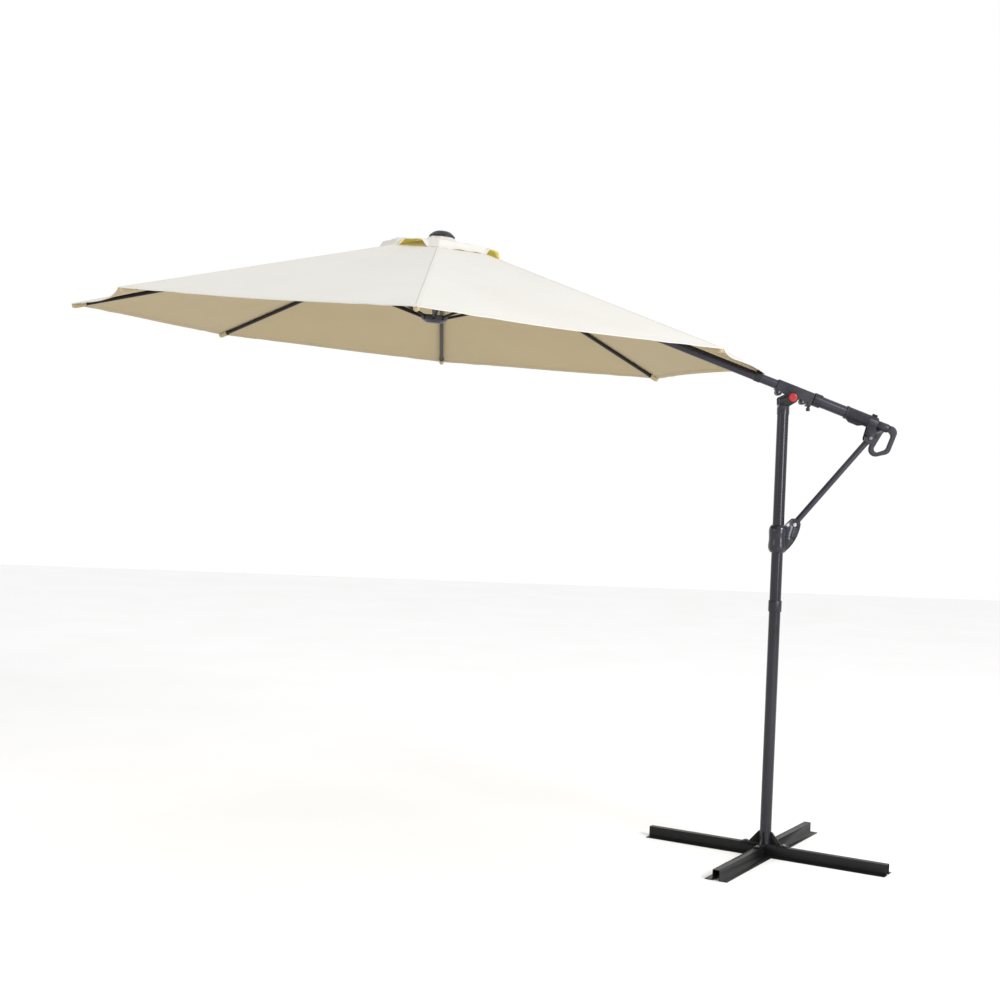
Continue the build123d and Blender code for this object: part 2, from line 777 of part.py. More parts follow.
web_top = strut_foot_height - carriage_web_drop
screw_place = (strut_foot_out - 14, web_top - 22)
with BuildPart() as carriage:
    with BuildSketch(Plane.XZ):
        with BuildLine():
            Line((0, carriage_bottom), (carriage_radius - 8, carriage_bottom))
            Spline(
                (carriage_radius - 8, carriage_bottom),
                (carriage_radius - 1, carriage_bottom + 10),
                (carriage_radius, carriage_bottom + carriage_height / 2),
                (carriage_radius - 7, carriage_top - 3),
                (carriage_radius - 11, carriage_top),
            )
            Polyline((carriage_radius - 11, carriage_top), (0, carriage_top), (0, carriage_bottom))
        make_face()
    revolve(axis=Axis.Z)
    leaf_low = (26, carriage_bottom + 3)
    leaf_bend = (strut_foot_out - 5, carriage_bottom + 40)
    with BuildSketch(Plane.XZ):
        with BuildLine():
            Spline(leaf_low, leaf_bend, (strut_foot_out + ear_radius, strut_foot_height))
            RadiusArc(
                (strut_foot_out + ear_radius, strut_foot_height),
                (strut_foot_out - 8, strut_foot_height + ear_radius - 1),
                -ear_radius,
            )
            Polyline(
                (strut_foot_out - 8, strut_foot_height + ear_radius - 1),
                (20, carriage_top - 8),
                leaf_low,
            )
        make_face()
    extrude(amount=ear_outer, both=True)
    with BuildSketch(Plane.XZ):
        with BuildLine():
            Polyline(
                (carriage_radius + 2, carriage_top + 60),
                (carriage_radius + 2, web_top + 6),
                (carriage_radius + 8, web_top),
                (strut_foot_out + 2 * ear_radius, web_top),
                (strut_foot_out + 2 * ear_radius, carriage_top + 60),
                close=True,
            )
        make_face()
    extrude(amount=half_eye + gap, both=True, mode=Mode.SUBTRACT)
    with BuildSketch(Plane.XY.offset(carriage_bottom)):
        Circle(mast_outer / 2 + gap)
    extrude(amount=carriage_height, mode=Mode.SUBTRACT)
    with BuildSketch(Plane.XY.offset(carriage_bottom + carriage_lip)):
        Circle(bush_outer / 2)
    extrude(amount=bush_height, mode=Mode.SUBTRACT)
    with BuildSketch(Plane.XZ):
        with Locations((strut_foot_out, strut_foot_height)):
            Circle(strut_pin / 2)
        with Locations(screw_place):
            Circle(carriage_screw_size / 2)
    extrude(amount=2 * ear_outer, both=True, mode=Mode.SUBTRACT)
for label, keep in (("carriage_front", Keep.TOP), ("carriage_back", Keep.BOTTOM)):
    with BuildPart() as shell:
        add(carriage.part)
        split(bisect_by=Plane.XZ, keep=keep)
    save(shell.part, label)

carriage_screw_head = carriage_screw_size * 0.6
with BuildPart() as carriage_screw:
    with BuildSketch(across(Plane.XZ, ear_outer)):
        with Locations(screw_place):
            Circle(carriage_screw_size / 2)
    extrude(amount=2 * ear_outer - carriage_screw_size / 2)
    with BuildSketch(across(Plane.XZ, ear_outer + carriage_screw_head)):
        with Locations(screw_place):
            Circle(carriage_screw_size)
    extrude(amount=carriage_screw_head)
save(carriage_screw.part, "carriage_screw")

# ---- crown and runner ----
# from a ridge to its rib's axis
rib_drop = cloth * cos(radians(rib_slope)) + rib_outer / 2 + cloth_over_rib
hinge_drop = (rib_drop + rib_pin_drop) / cos(radians(rib_slope))
hinge_level = -hinge_radius * tan(radians(rib_slope)) - hinge_drop
runner_level = hinge_level - 2 * stretcher_reach * sin(radians(rib_slope))
slot_width = lug_thick + 2 * gap
slot_inner = hinge_radius - lug_thick - 1
rib_azimuths = [corner * corner_step for corner in range(1, corners)]


def lifted(level):
    """The canopy's cross plane, moved along its axis from the apex."""
    return Plane(
        origin=canopy.origin + canopy.z_dir * level, x_dir=canopy.x_dir, z_dir=canopy.z_dir
    )


def slot_cutter(level, start, amount):
    """What is cut away for the ribs: a slot for each, and a hole across it for its pin."""
    with BuildPart() as cutter:
        for azimuth in rib_azimuths:
            flat = radial(azimuth)
            with BuildSketch(flat):
                with Locations(((slot_inner + 2 * crown_radius) / 2, start + amount / 2)):
                    Rectangle(2 * crown_radius - slot_inner, amount)
            extrude(amount=slot_width / 2, both=True)
            with BuildSketch(flat):
                with Locations((hinge_radius, level)):
                    Circle(hinge_pin / 2)
            extrude(amount=lug_thick, both=True)
    return cutter.part


with BuildPart() as crown:
    with BuildSketch(lifted(hinge_level - crown_disc / 2)):
        Circle(crown_radius)
    extrude(amount=crown_disc)
    chamfer(crown.edges().filter_by(GeomType.CIRCLE), crown_edge)
    with BuildSketch(lifted(hinge_level)):
        Circle(post_outer / 2)
    extrude(amount=post_rise - hinge_level)
    with BuildSketch(lifted(hinge_level)):
        Circle(crown_hub_radius)
    extrude(amount=-crown_hub_drop - hinge_level)
    with BuildSketch(arm_cross(-crown_along)):
        Circle(front_bore - play)
    extrude(amount=arm_socket_length)
    with BuildSketch(arm_cross(-crown_along)):
        Circle(front_tube_outer / 2 + arm_socket_wall)
    extrude(amount=front_tube_start + crown_along)
    with BuildSketch(lifted(hinge_level + crown_disc / 2)):
        Circle(crown_radius)
        Circle(post_outer / 2, mode=Mode.SUBTRACT)
    extrude(amount=crown_radius, mode=Mode.SUBTRACT)
    add(slot_cutter(hinge_level, hinge_level - crown_disc, 2 * crown_disc), mode=Mode.SUBTRACT)
save(crown.part, "crown")

runner_top = runner_level + runner_rim
with BuildPart() as runner:
    with BuildSketch(radial(0)):
        with BuildLine():
            Polyline((0, runner_top), (runner_radius, runner_top))
            Spline(
                (runner_radius, runner_top),
                (runner_radius * 0.95, runner_level - runner_depth / 4),
                (runner_radius * 0.6, runner_level - 0.85 * runner_depth),
                (0, runner_level - runner_depth),
                tangents=((0, -1), (-1, 0)),
            )
            Line((0, runner_level - runner_depth), (0, runner_top))
        make_face()
    revolve(axis=Axis(canopy.origin, canopy.z_dir))
    add(slot_cutter(runner_level, runner_level - runner_rim, 2 * crown_disc), mode=Mode.SUBTRACT)
save(runner.part, "runner")

for level, label in ((hinge_level, "crown_pins"), (runner_level, "runner_pins")):
    with BuildPart() as pins:
        for azimuth in rib_azimuths:
            with BuildSketch(radial(azimuth)):
                with Locations((hinge_radius, level)):
                    Circle(hinge_pin / 2 - pin_play)
            extrude(amount=lug_thick - gap, both=True)
    save(pins.part, label)


# ---- ribs and stretchers ----
def rib_plane(azimuth):
    """Side plane of a rib at rest: x outwards along the rib, y square to it, origin at its pin."""
    flat = radial(azimuth)
    centre = flat.from_local_coords(Vector(hinge_radius, hinge_level, 0))
    way = flat.x_dir * cos(radians(rib_slope)) - flat.y_dir * sin(radians(rib_slope))
    return Plane(origin=centre, x_dir=way, z_dir=flat.z_dir)


def end_plane(side, along, above, flip=1):
    """Plane square to a bar that is drawn in a side plane, its normal outwards along the bar."""
    centre = side.from_local_coords(Vector(along, above, 0))
    return Plane(origin=centre, x_dir=side.z_dir, z_dir=side.x_dir * flip)


rib_reach = canopy_radius - rib_tip_gap - hinge_radius - rib_pin_drop * sin(radians(rib_slope))
rib_length = rib_reach / cos(radians(rib_slope)) - rib_tip_length
clip_side = rib_outer / 2 + clip_cheek
clip_roof = rib_pin_drop + rib_outer / 3
clip_shoulder = rib_pin_drop - rib_outer / 2 - clip_wall


def rib(azimuth):
    """A rib's tube, its root, the clip for its stretcher with its pin, and its tip cap."""
    side = rib_plane(azimuth)
    bore = rib_outer / 2 - rib_wall
    tube_part = tube(
        end_plane(side, rib_tube_start, rib_pin_drop),
        rib_length - rib_tube_start,
        rib_outer,
        rib_wall,
    )
    with BuildPart() as root:
        with BuildSketch(side):
            Circle(eye_radius)
            with Locations((rib_tube_start - lug_thick / 2, rib_pin_drop)):
                Rectangle(lug_thick, rib_outer - 2 * play)
            make_hull()
        extrude(amount=lug_thick / 2, both=True)
        with BuildSketch(end_plane(side, rib_tube_start, rib_pin_drop)):
            Circle(bore - play)
        extrude(amount=2 * rib_outer)
        with BuildSketch(side):
            Circle(hinge_pin / 2 + play)
        extrude(amount=lug_thick, both=True, mode=Mode.SUBTRACT)
    with BuildPart() as clip:
        with BuildSketch(side):
            with BuildLine():
                Polyline(
                    (stretcher_reach - clip_half, clip_roof),
                    (stretcher_reach + clip_half, clip_roof),
                    (stretcher_reach + clip_half, clip_shoulder),
                    (stretcher_reach + clip_foot, -clip_foot),
                    (stretcher_reach - clip_foot, -clip_foot),
                    (stretcher_reach - clip_half, clip_shoulder),
                    close=True,
                )
            make_face()
        extrude(amount=clip_side, both=True)
        with BuildSketch(end_plane(side, stretcher_reach - clip_half, rib_pin_drop)):
            Circle(rib_outer / 2)
        extrude(amount=2 * clip_half, mode=Mode.SUBTRACT)
        with BuildSketch(side):
            with Locations((stretcher_reach, 0)):
                Rectangle(4 * clip_half, 2 * (rib_pin_drop - rib_outer / 2))
        extrude(amount=slot_width / 2, both=True, mode=Mode.SUBTRACT)
        with BuildSketch(side):
            with Locations((stretcher_reach, 0)):
                Circle(hinge_pin / 2)
        extrude(amount=clip_side, both=True, mode=Mode.SUBTRACT)
    with BuildPart() as pin:
        with BuildSketch(side):
            with Locations((stretcher_reach, 0)):
                Circle(hinge_pin / 2 - pin_play)
        extrude(amount=clip_side, both=True)
    with BuildPart() as cap:
        with BuildSketch(end_plane(side, rib_length, rib_pin_drop)):
            Circle(rib_outer / 2)
        extrude(amount=rib_tip_length)
        tip_rim = cap.edges().filter_by(GeomType.CIRCLE).sort_by(Axis(side.origin, side.x_dir))[-1]
        fillet(tip_rim, rib_tip_edge)
    return Compound([tube_part, clip.part, root.part, pin.part, cap.part])


def stretcher(azimuth):
    """A stretcher's tube with its two eyes."""
    flat = radial(azimuth)
    start = flat.from_local_coords(Vector(hinge_radius, runner_level, 0))
    way = flat.x_dir * cos(radians(rib_slope)) + flat.y_dir * sin(radians(rib_slope))
    side = Plane(origin=start, x_dir=way, z_dir=flat.z_dir)
    tube_part = tube(
        end_plane(side, stretcher_tube_start, 0),
        stretcher_reach - 2 * stretcher_tube_start,
        stretcher_outer,
        stretcher_wall,
    )
    eyes = []
    for pin_at, inwards in ((0, 1), (stretcher_reach, -1)):
        tube_end = pin_at + inwards * stretcher_tube_start
        with BuildPart() as eye:
            with BuildSketch(side):
                with Locations((pin_at, 0)):
                    Circle(eye_radius)
                with Locations((tube_end - inwards * tube_stop / 2, 0)):
                    Rectangle(tube_stop, stretcher_outer - 2 * play)
                make_hull()
            extrude(amount=lug_thick / 2, both=True)
            with BuildSketch(end_plane(side, tube_end, 0, inwards)):
                Circle(stretcher_outer / 2 - stretcher_wall - play)
            extrude(amount=1.5 * stretcher_outer)
            with BuildSketch(side):
                with Locations((pin_at, 0)):
                    Circle(hinge_pin / 2 + play)
            extrude(amount=lug_thick, both=True, mode=Mode.SUBTRACT)
        eyes.append(eye.part)
    return Compound([tube_part, *eyes])


for number, azimuth in enumerate(rib_azimuths, start=1):
    save(rib(azimuth), f"rib_{number}")
    save(stretcher(azimuth), f"stretcher_{number}")

# ---- cloth ----
corner_radii = [canopy_radius * (cut_corner if corner == 0 else 1) for corner in range(corners)]


def gore(corner):
    """One flat panel of the canopy between two ridges."""
    after = (corner + 1) % corners
    outline = [
        ridge_point(corner * corner_step, vent_hole_radius, cloth),
        ridge_point(corner * corner_step, corner_radii[corner], cloth),
        ridge_point(after * corner_step, corner_radii[after], cloth),
        ridge_point(after * corner_step, vent_hole_radius, cloth),
    ]
    with BuildPart() as panel:
        extrude(Face(Wire.make_polygon(outline)), amount=cloth, dir=canopy.z_dir)
    return panel.part


canopy_cloth = Compound([gore(corner) for corner in range(corners)])
save(canopy_cloth, "canopy")


def octagon(radius, level):
    """The canopy's corners at a radius, as a face square to its axis."""
    corner_points = [
        lifted(level).from_local_coords(
            Vector(
                radius * cos(radians(corner * corner_step)),
                radius * sin(radians(corner * corner_step)),
                0,
            )
        )
        for corner in range(corners)
    ]
    return Face(Wire.make_polygon(corner_points))


vent_rings = (
    (vent_radius, -vent_rim_drop),
    (vent_inner_radius, -vent_inner_drop),
    (vent_neck_radius, -vent_neck_drop),
)
with BuildPart() as vent_cap:
    for lower, mode in ((0, Mode.ADD), (cloth, Mode.SUBTRACT)):
        for wide, narrow in zip(vent_rings, vent_rings[1:]):
            loft([octagon(ring[0], ring[1] - lower) for ring in (wide, narrow)], mode=mode)
    with BuildSketch(lifted(-vent_rim_drop)):
        Circle(post_outer / 2 + gap)
    extrude(amount=2 * vent_rim_drop, mode=Mode.SUBTRACT)
save(vent_cap.part, "vent_cap")

finial_base = gap - vent_neck_drop
with BuildPart() as finial:
    with BuildSketch(radial(0)):
        with BuildLine():
            Polyline((0, finial_height), (0, finial_base), (finial_radius, finial_base))
            Line((finial_radius, finial_base), (finial_radius, finial_base + finial_rim))
            Spline(
                (finial_radius, finial_base + finial_rim),
                (finial_radius * 0.66, finial_height * 0.73),
                (0, finial_height),
                tangents=((-0.5, 0.5), (-1, 0)),
            )
        make_face()
    revolve(axis=Axis(canopy.origin, canopy.z_dir))
    with BuildSketch(lifted(-vent_neck_drop)):
        Circle(post_outer / 2)
    extrude(amount=vent_neck_drop + post_rise, mode=Mode.SUBTRACT)
save(finial.part, "finial")

# The strap holds the cut corner of the cloth down to the arm.
strap_along = -crown_along + cut_corner * canopy_radius / cos(radians(rib_slope)) - strap_width
with BuildPart() as corner_strap:
    with BuildSketch(arm_cross(strap_along)):
        Circle(front_tube_outer / 2 + strap_thick)
        with Locations((0, (ridge_above_arm - cloth) / 2)):
            Rectangle(2 * strap_thick, ridge_above_arm - 2 * cloth)
        Circle(front_tube_outer / 2, mode=Mode.SUBTRACT)
    extrude(amount=strap_width)
save(corner_strap.part, "corner_strap")
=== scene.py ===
"""Looks of a cantilever parasol: cream polyester canopy, dark powder-coated frame, black cross base."""

import json
import math

import bmesh
import bpy
import numpy as np
from mathutils import Matrix, Vector


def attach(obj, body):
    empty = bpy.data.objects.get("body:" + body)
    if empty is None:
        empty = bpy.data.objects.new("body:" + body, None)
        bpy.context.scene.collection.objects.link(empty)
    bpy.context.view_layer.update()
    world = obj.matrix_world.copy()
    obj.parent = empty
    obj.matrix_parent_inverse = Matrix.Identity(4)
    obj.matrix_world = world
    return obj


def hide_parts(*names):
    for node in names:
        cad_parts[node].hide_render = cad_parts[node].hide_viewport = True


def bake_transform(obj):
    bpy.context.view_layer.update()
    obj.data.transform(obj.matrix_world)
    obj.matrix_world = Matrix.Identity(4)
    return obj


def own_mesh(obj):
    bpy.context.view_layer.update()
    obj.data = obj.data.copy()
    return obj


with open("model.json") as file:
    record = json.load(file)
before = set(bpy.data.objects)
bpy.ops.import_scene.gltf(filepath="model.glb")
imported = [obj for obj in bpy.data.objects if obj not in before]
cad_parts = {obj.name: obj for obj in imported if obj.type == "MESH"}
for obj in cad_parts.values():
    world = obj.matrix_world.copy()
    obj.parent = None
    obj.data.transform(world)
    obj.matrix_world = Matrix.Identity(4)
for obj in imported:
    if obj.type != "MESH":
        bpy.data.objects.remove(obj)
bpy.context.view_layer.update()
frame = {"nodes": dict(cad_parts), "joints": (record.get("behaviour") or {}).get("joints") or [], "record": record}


# ---- Camera ----
# A long lens at standing height, seen from the front and square to the arm. It looks slightly
# down, and is rolled a little to the right.
camera_place = Vector((-1.235, -6.635, 1.625))
camera_yaw, camera_pitch, camera_roll = math.radians(0.6), math.radians(-1.54), math.radians(2.13)
camera_lens = 57.34

ahead = Vector(
    (
        math.sin(camera_yaw) * math.cos(camera_pitch),
        math.cos(camera_yaw) * math.cos(camera_pitch),
        math.sin(camera_pitch),
    )
)
level_right = Vector((math.cos(camera_yaw), -math.sin(camera_yaw), 0))
level_up = level_right.cross(ahead)
turned_right = level_right * math.cos(camera_roll) + level_up * math.sin(camera_roll)
turned_up = level_up * math.cos(camera_roll) - level_right * math.sin(camera_roll)
camera = bpy.data.objects.new("camera", bpy.data.cameras.new("camera"))
bpy.context.scene.collection.objects.link(camera)
camera.data.sensor_width = 36
camera.data.lens = camera_lens
camera.matrix_world = Matrix.Translation(camera_place) @ Matrix(
    (turned_right, turned_up, -ahead)
).transposed().to_4x4()
bpy.context.scene.camera = camera


# ---- Floor and light ----
# A wide pale floor under a bright, even studio sky, with a large key lamp from the right front
# and a weaker one from the left. A low lamp on the right draws one long highlight on each tube.
class Socket:
    """A node's output, or a number, that Python's operators turn into Math nodes."""

    def __init__(self, tree, value):
        self.tree = tree
        self.value = value

    def node(self, kind, settings=None, output=0, **inputs):
        """Adds a node: its settings first, then the values or links of its sockets by name."""
        made = self.tree.nodes.new(kind)
        for name, setting in (settings or {}).items():
            setattr(made, name, setting)
        for name, value in inputs.items():
            index = int(name[1:]) if name[1:].isdigit() else name.replace("_", " ")
            feed(self.tree, made.inputs[index], value)
        return Socket(self.tree, made.outputs[output])

    def math(self, operation, *values):
        inputs = {f"i{place}": value for place, value in enumerate(values)}
        return self.node("ShaderNodeMath", {"operation": operation}, **inputs)

    def __add__(self, other):
        return self.math("ADD", self, other)

    def __sub__(self, other):
        return self.math("SUBTRACT", self, other)

    def __mul__(self, other):
        return self.math("MULTIPLY", self, other)

    def __truediv__(self, other):
        return self.math("DIVIDE", self, other)

    def __rsub__(self, other):
        return self.math("SUBTRACT", other, self)

    def __gt__(self, other):
        return self.math("GREATER_THAN", self, other)

    def __lt__(self, other):
        return self.math("LESS_THAN", self, other)

    __radd__ = __add__
    __rmul__ = __mul__

    def mix(self, first, second):
        """A colour between two, with this socket as the share of the second."""
        made = self.tree.nodes.new("ShaderNodeMix")
        made.data_type = "RGBA"
        feed(self.tree, made.inputs["Factor"], self)
        feed(self.tree, made.inputs[6], first)
        feed(self.tree, made.inputs[7], second)
        return Socket(self.tree, made.outputs[2])


def feed(tree, target, value):
    """Sets a socket to a number or colour, or links another socket to it."""
    if isinstance(value, Socket):
        tree.links.new(value.value, target)
    else:
        target.default_value = value


def finish_of(name, base=(0.8, 0.8, 0.8), roughness=0.5, metallic=0.0, **shader):
    """A new material and its Principled shader, with the values that are the same all over."""
    material = bpy.data.materials.new(name)
    material.use_nodes = True
    tree = material.node_tree
    principled = tree.nodes["Principled BSDF"]
    principled.inputs["Base Color"].default_value = (*base, 1)
    principled.inputs["Roughness"].default_value = roughness
    principled.inputs["Metallic"].default_value = metallic
    for socket, value in shader.items():
        principled.inputs[socket.replace("_", " ")].default_value = value
    return material, tree, principled


def place_in(tree, stretch=(1, 1, 1), source="Object"):
    """Object coordinates or the piece's own UV, stretched for a texture."""
    start = Socket(tree, None)
    place = start.node("ShaderNodeTexCoord", output={"Object": 3, "UV": 2}[source])
    return start.node("ShaderNodeMapping", Vector=place, Scale=stretch)


def noise(place, scale, detail=2.0, roughness=0.5):
    """Cloudy noise from 0 to 1."""
    return place.node(
        "ShaderNodeTexNoise", Vector=place, Scale=scale, Detail=detail, Roughness=roughness
    )


def bump(tree, principled, height, strength, distance):
    """Drives the shader's normal by a height."""
    start = Socket(tree, None)
    normal = start.node("ShaderNodeBump", Height=height, Strength=strength, Distance=distance)
    tree.links.new(normal.value, principled.inputs["Normal"])


def settle(value, low, high):
    """Stretches a socket from one range to 0 to 1, held inside it."""
    return value.node("ShaderNodeMapRange", {"clamp": True}, Value=value, i1=low, i2=high)


def grid_faces(index):
    """The four-cornered faces of a grid of vertex numbers."""
    corners_of = [index[:-1, :-1], index[:-1, 1:], index[1:, 1:], index[1:, :-1]]
    return np.stack(corners_of, axis=-1).reshape(-1, 4)


def surface(name, points, faces, uv, materials, crease):
    """A new object from points, faces and a UV in metres for each point. It is smooth but for
    edges steeper than the crease."""
    mesh = bpy.data.meshes.new(name)
    mesh.from_pydata(points.reshape(-1, 3).tolist(), [], faces.tolist())
    corners_uv = uv.reshape(-1, 2)[faces.reshape(-1)]
    mesh.uv_layers.new(name="cloth").data.foreach_set("uv", corners_uv.ravel())
    mesh.polygons.foreach_set("use_smooth", np.ones(len(faces), bool))
    mesh.set_sharp_from_angle(angle=crease)
    for material in materials:
        mesh.materials.append(material)
    piece = bpy.data.objects.new(name, mesh)
    bpy.context.scene.collection.objects.link(piece)
    return piece


floor_half = 14.0
floor_drop = 0.0008
floor_edge = np.array([-floor_half, floor_half])
floor_points = np.stack(np.meshgrid(floor_edge, floor_edge, [-floor_drop]), axis=-1)[:, :, 0]
floor_faces = grid_faces(np.arange(4).reshape(2, 2))
floor_finish, tree, principled = finish_of("studio_floor", (0.9, 0.9, 0.9), 0.75)
principled.inputs["Specular IOR Level"].default_value = 0.2
pale = settle(noise(place_in(tree), 1.3), 0.3, 0.7).mix((0.9, 0.9, 0.895, 1), (0.92, 0.92, 0.92, 1))
feed(tree, principled.inputs["Base Color"], pale)
floor_uv = floor_points[..., :2]
surface("floor", floor_points, floor_faces, floor_uv, [floor_finish], math.pi)

world = bpy.data.worlds.new("studio")
world.use_nodes = True
world.node_tree.nodes["Background"].inputs["Color"].default_value = (1.0, 1.0, 1.0, 1)
world.node_tree.nodes["Background"].inputs["Strength"].default_value = 1.0
bpy.context.scene.world = world
bpy.context.scene.view_settings.view_transform = "Standard"


def softbox(name, place, target, size, power, colour):
    """A square area lamp that faces a point."""
    lamp = bpy.data.lights.new(name, "AREA")
    lamp.shape = "SQUARE"
    lamp.size = size
    lamp.energy = power
    lamp.color = colour
    stand = bpy.data.objects.new(name, lamp)
    bpy.context.scene.collection.objects.link(stand)
    stand.location = place
    aim = Vector(target) - Vector(place)
    stand.rotation_euler = aim.to_track_quat("-Z", "Y").to_euler()


softbox("key_lamp", (4.6, -5.4, 5.0), (-0.8, 0, 1.9), 2.4, 420, (1.0, 1.0, 1.0))
softbox("side_lamp", (-7.0, -4.0, 3.5), (-1.5, 0, 2.0), 3.5, 60, (1.0, 0.97, 0.93))
softbox("low_lamp", (3.1, -5.3, 1.5), (0, 0, 1.3), 1.5, 70, (0.95, 0.97, 1.0))


# ---- Cross base ----
# Hat-section steel bars, folded from sheet and crossed under the mast, with the welded foot
# bolted over them. Black satin paint, a little dusty on top and scuffed.
def painted(name, deep, worn, rough_low, rough_high, gloss=0.3, grain=700.0, depth=0.00012):
    """Powder coat or paint: cloudy tone, patchy gloss and the fine orange peel of the coat."""
    material, tree, principled = finish_of(name, deep, rough_low, Specular_IOR_Level=gloss)
    place = place_in(tree)
    cloud = settle(noise(place, 7.0, 4.0, 0.6), 0.35, 0.75)
    streak = settle(noise(place_in(tree, (1, 1, 0.12)), 45.0, 3.0), 0.55, 0.8)
    share = cloud * 0.65 + streak * 0.35
    feed(tree, principled.inputs["Base Color"], share.mix((*deep, 1), (*worn, 1)))
    feed(tree, principled.inputs["Roughness"], share * (rough_high - rough_low) + rough_low)
    bump(tree, principled, noise(place, grain, 2.0), 0.35, depth)
    return material


body_of = {
    node: body for body, held in frame["record"]["behaviour"]["bodies"].items() for node in held
}
sharp_edge = math.radians(32)
weld_distance = 1e-6


def wear(material, *names):
    """Makes the finished piece of each CAD node: its own shape, with the triangles joined into one
    skin that is smooth over round faces and sharp at edges steeper than sharp_edge."""
    for name in names:
        mesh = frame["nodes"][name].data.copy()
        skin = bmesh.new()
        skin.from_mesh(mesh)
        bmesh.ops.remove_doubles(skin, verts=skin.verts, dist=weld_distance)
        skin.to_mesh(mesh)
        skin.free()
        mesh.polygons.foreach_set("use_smooth", np.ones(len(mesh.polygons), bool))
        mesh.set_sharp_from_angle(angle=sharp_edge)
        mesh.materials.clear()
        mesh.materials.append(material)
        mesh.polygons.foreach_set("material_index", np.zeros(len(mesh.polygons), np.int32))
        piece = bpy.data.objects.new(f"{name}_finished", mesh)
        bpy.context.scene.collection.objects.link(piece)
        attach(piece, body_of[name])
        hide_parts(name)


base_paint = painted("base_paint", (0.004, 0.004, 0.004), (0.011, 0.011, 0.011), 0.34, 0.5, 0.22)
wear(base_paint, "base_bar_long", "base_bar_back", "base_bar_front", "base_tie_strip", "mast_foot")


# ---- Bolts, screws and pins ----
# Zinc-plated steel, screwed or pressed into the pieces that it holds. It is bright low down on
# the base, the mast and the carriage, and black on the head and the hubs.
def plated(name, dull, bright):
    """Plated steel: a brushed metal whose tone and gloss change in small patches."""
    material, tree, principled = finish_of(name, dull, 0.32, 1.0)
    shade = settle(noise(place_in(tree), 160.0, 3.0), 0.3, 0.7)
    feed(tree, principled.inputs["Base Color"], shade.mix((*dull, 1), (*bright, 1)))
    feed(tree, principled.inputs["Roughness"], shade * 0.2 + 0.24)
    return material


zinc = plated("zinc_plate", (0.34, 0.34, 0.36), (0.5, 0.5, 0.52))
wear(zinc, "foot_bolts", "collar_screw", "carriage_screw", "strut_foot_pin", "pivot_pin")
black_zinc = plated("black_zinc", (0.1, 0.1, 0.11), (0.18, 0.18, 0.19))
wear(black_zinc, "housing_screws", "strut_top_pin", "crown_pins", "runner_pins")


# ---- Mast ----
# Two lengths of 48 mm steel tube on an inner spigot, which meet in a plastic collar. They are
# powder-coated dark anthracite, with a soft gloss.
mast_coat = painted("mast_coat", (0.007, 0.007, 0.011), (0.014, 0.0145, 0.021), 0.16, 0.25, 0.45)
wear(mast_coat, "lower_mast", "upper_mast", "mast_spigot")


# ---- Arm, strut and ribs ----
# Drawn aluminium tubes with the same anthracite coat, a shade bluer on the arm. On the ribs
# and stretchers it is duller, and painted darker and warmer as shade under the canopy.
arm_coat = painted("arm_coat", (0.014, 0.013, 0.022), (0.03, 0.029, 0.043), 0.26, 0.38, 0.4)
wear(arm_coat, "front_arm_tube", "rear_arm_tube", "strut_tube")
# Ribs and stretchers: their darker, warmer tone is painted shade under the canopy.
rib_coat = painted("rib_coat", (0.006, 0.005, 0.005), (0.014, 0.013, 0.012), 0.4, 0.55, 0.25)
wear(rib_coat, *[f"{piece}_{number}" for piece in ("rib", "stretcher") for number in range(1, 8)])


# ---- Moulded parts ----
# Glass-filled nylon, nearly black with a blue cast: collars, head, grip, end block, handle,
# carriage, crown and runner. The carriage is polished, the grip is spark-eroded.
def moulded(name, deep, light, rough, grain, depth, coat=0.0):
    """Injection-moulded plastic with the fine erosion texture of its mould."""
    material, tree, principled = finish_of(name, deep, rough, Coat_Weight=coat, Coat_Roughness=0.12)
    principled.inputs["Specular IOR Level"].default_value = 0.35
    place = place_in(tree)
    cloud = settle(noise(place, 22.0, 3.0), 0.3, 0.75)
    feed(tree, principled.inputs["Base Color"], cloud.mix((*deep, 1), (*light, 1)))
    feed(tree, principled.inputs["Roughness"], cloud * 0.1 + rough)
    bump(tree, principled, noise(place, grain, 1.0), 0.4, depth)
    return material


nylon = moulded("black_nylon", (0.008, 0.008, 0.013), (0.018, 0.018, 0.026), 0.34, 900.0, 0.00012)
polished = moulded(
    "polished_nylon", (0.005, 0.005, 0.01), (0.011, 0.012, 0.019), 0.2, 500.0, 0.00004, 0.4
)
grip_finish = moulded("grip_nylon", (0.012, 0.012, 0.017), (0.024, 0.024, 0.031), 0.46, 420.0, 0.0003)
wear(
    nylon,
    "mast_collar",
    "tube_reducer",
    "arm_collar",
    "head_housing_front",
    "head_housing_back",
    "end_block",
    "end_plug",
    "loop_handle",
    "strut_top_eye",
    "strut_foot_eye",
    "carriage_bush",
    "locking_peg",
    "crown",
    "runner",
    "finial",
)
wear(polished, "carriage_front", "carriage_back", "mast_head")
wear(grip_finish, "grip_sleeve")


# ---- Red button ----
# The safety button on the head's pivot, pressed to free the tilt. It is moulded in glossy red
# plastic.
button_red = moulded("button_red", (0.27, 0.008, 0.01), (0.37, 0.018, 0.02), 0.25, 700.0, 0.00004, 0.3)
wear(button_red, "red_button")


# ---- Canopy ----
# Woven polyester in eight gores, sewn along the ribs and hemmed. It is drawn as eight sectors,
# one over each rib, that meet along the middles of the gores and fold with their ribs. The
# eighth corner is cut short and drawn down to the arm. The cloth is cream; its inside is
# painted a warmer tan, as painted shade and painted light through the cloth.
corners = 8
corner_turn = 2 * math.pi / corners
half_gore = corner_turn / 2
canopy_radius = 1.5
cut_radius = 0.93 * canopy_radius
hole_radius = 0.11
ridge_above_hinges = 0.0395
cloth_thick = 0.0012
rim_scoop = 0.036  # how far the rim runs in between two corners, as a share of its reach
cloth_hang = 0.010
hem_droop = 0.012
strap_pull_depth = 0.030
strap_pull_start = 0.78

